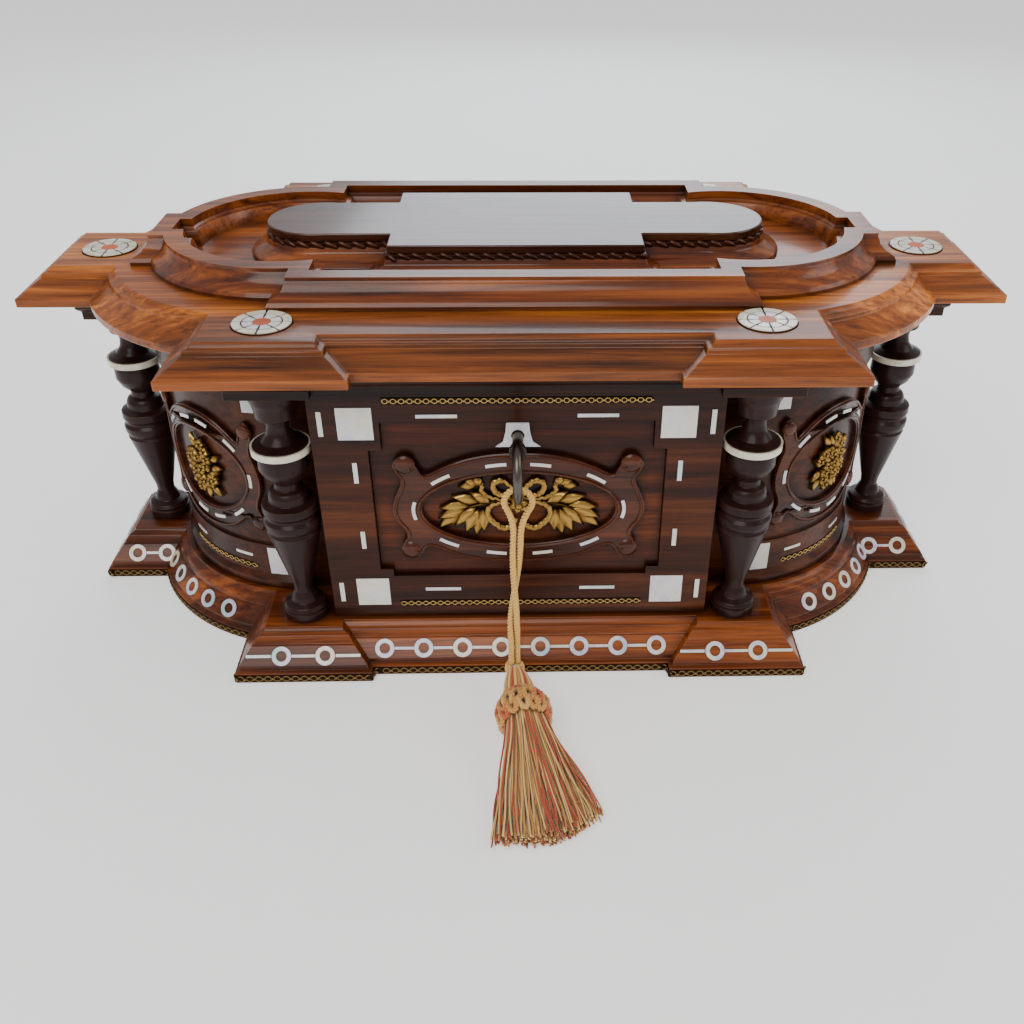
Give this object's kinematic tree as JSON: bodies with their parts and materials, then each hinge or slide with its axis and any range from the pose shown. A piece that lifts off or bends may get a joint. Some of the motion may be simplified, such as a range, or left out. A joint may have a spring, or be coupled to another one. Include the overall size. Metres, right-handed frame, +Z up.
{
  "type": "music box",
  "caption": "Rosewood casket music box with turned columns, hinged moulded lid, pearl inlay, box lock with tasselled key and a wound comb movement.",
  "frame": {"origin": "centre of the casket's foot, in the plane that it stands on", "axes": "+X to the right along the width, +Y to the back, where the lid is hinged, +Z up; the lock and key face -Y"},
  "size_m": [0.46, 0.3541, 0.1861],
  "materials": {
    "rosewood": "french polished, warm orange brown",
    "dark_rosewood": "french polished, dark red brown",
    "ebonised_wood": "ebonised, satin",
    "mother_of_pearl": "polished shell with a faint play of colour",
    "brass": "aged, satin",
    "gilt_brass": "gilt with dark hollows",
    "dark_steel": "browned, worn bright on the bow",
    "steel": "ground",
    "blued_steel": "blued",
    "glass": "clear",
    "gold_cord": "twisted silk rope",
    "tassel_yarn": "cream, gold and terracotta yarn"
  },
  "bodies": {
    "case": {"plinth_frame": "rosewood", "base_board": "rosewood", "front_frame": "dark_rosewood", "front_panel": "dark_rosewood", "back_frame": "dark_rosewood", "back_panel": "dark_rosewood", "end_wall_left": "dark_rosewood", "end_wall_right": "dark_rosewood", "cornice": "dark_rosewood", "column_front_left": "ebonised_wood", "column_front_right": "ebonised_wood", "column_side_left": "ebonised_wood", "column_side_right": "ebonised_wood", "column_back_left": "ebonised_wood", "column_back_right": "ebonised_wood", "column_pearl_rings": "mother_of_pearl", "plinth_pearl": "mother_of_pearl", "plinth_brass_band": "brass", "wall_pearl": "mother_of_pearl", "wall_brass_strips": "brass", "cartouches": "dark_rosewood", "gilt_mounts": "gilt_brass", "escutcheon": "mother_of_pearl", "lock_case": "brass", "key_cord": "gold_cord", "tassel_knot": "gold_cord", "tassel_head": "tassel_yarn", "tassel_collar": "gold_cord", "tassel_skirt": "tassel_yarn", "hinge_case_leaves": "brass", "hinge_pins": "brass", "partitions": "rosewood", "glass_cover": "glass", "bedplate": "brass", "bearing_cock": "brass", "comb_rail": "brass", "music_comb": "steel", "comb_screws": "blued_steel", "barrel_bridge": "brass", "governor_frame": "brass"},
    "lid": {"hinge_lid_leaves": "brass", "link_plate": "brass", "lid_frame": "rosewood", "lid_panel": "rosewood", "lid_lining": "dark_rosewood", "gallery_rim": "rosewood", "pedestal": "rosewood", "gadroon_edge": "ebonised_wood", "plaque": "rosewood", "rosettes": "mother_of_pearl"},
    "key": {"lock_key": "dark_steel", "key_cord_loop": "gold_cord"},
    "bolt": {"lock_bolt": "steel"},
    "winder": {"winding_arbor": "steel", "winding_key": "brass"},
    "barrel": {"spring_barrel": "brass"},
    "cylinder": {"music_cylinder": "brass"},
    "governor": {"governor_wheel": "brass"},
    "fly": {"governor_fly": "steel"},
    "lever": {"stop_lever": "steel"}
  },
  "joints": [
    {"name": "lid_hinge", "type": "hinge", "parent": "case", "child": "lid", "pos_m": [0, 0.1105, 0.157], "axis": [-1, 0, 0], "range_deg": [0, 95]},
    {"name": "key_turn", "type": "hinge", "parent": "case", "child": "key", "pos_m": [0, -0.1, 0.121], "axis": [0, 1, 0], "range_deg": [0, 90]},
    {"name": "bolt_throw", "type": "slide", "parent": "case", "child": "bolt", "axis": [1, 0, 0], "range_m": [0, 0.005]},
    {"name": "winder_turn", "type": "hinge", "parent": "case", "child": "winder", "pos_m": [-0.044, 0.048, 0.02], "axis": [0, 0, 1], "continuous": true},
    {"name": "cylinder_turn", "type": "hinge", "parent": "case", "child": "cylinder", "pos_m": [0, 0.048, 0.046], "axis": [1, 0, 0], "continuous": true},
    {"name": "barrel_turn", "type": "hinge", "parent": "case", "child": "barrel", "pos_m": [-0.044, 0.048, 0.036], "axis": [0, 0, 1], "continuous": true},
    {"name": "governor_turn", "type": "hinge", "parent": "case", "child": "governor", "pos_m": [0, 0.06073, 0.046], "axis": [1, 0, 0], "continuous": true},
    {"name": "fly_turn", "type": "hinge", "parent": "case", "child": "fly", "pos_m": [0.04825, 0.07308, 0.046], "axis": [0, 0, 1], "continuous": true},
    {"name": "lever_swing", "type": "hinge", "parent": "case", "child": "lever", "pos_m": [0.062, 0.016, 0.031], "axis": [0, 0, 1], "range_deg": [0, 5]}
  ],
  "couplings": [
    {"joint": "bolt_throw", "follows": "key_turn", "m_per_rad": 0.0031831},
    {"joint": "barrel_turn", "follows": "cylinder_turn", "ratio": 0.33333},
    {"joint": "governor_turn", "follows": "cylinder_turn", "ratio": -3},
    {"joint": "fly_turn", "follows": "cylinder_turn", "ratio": 30}
  ]
}
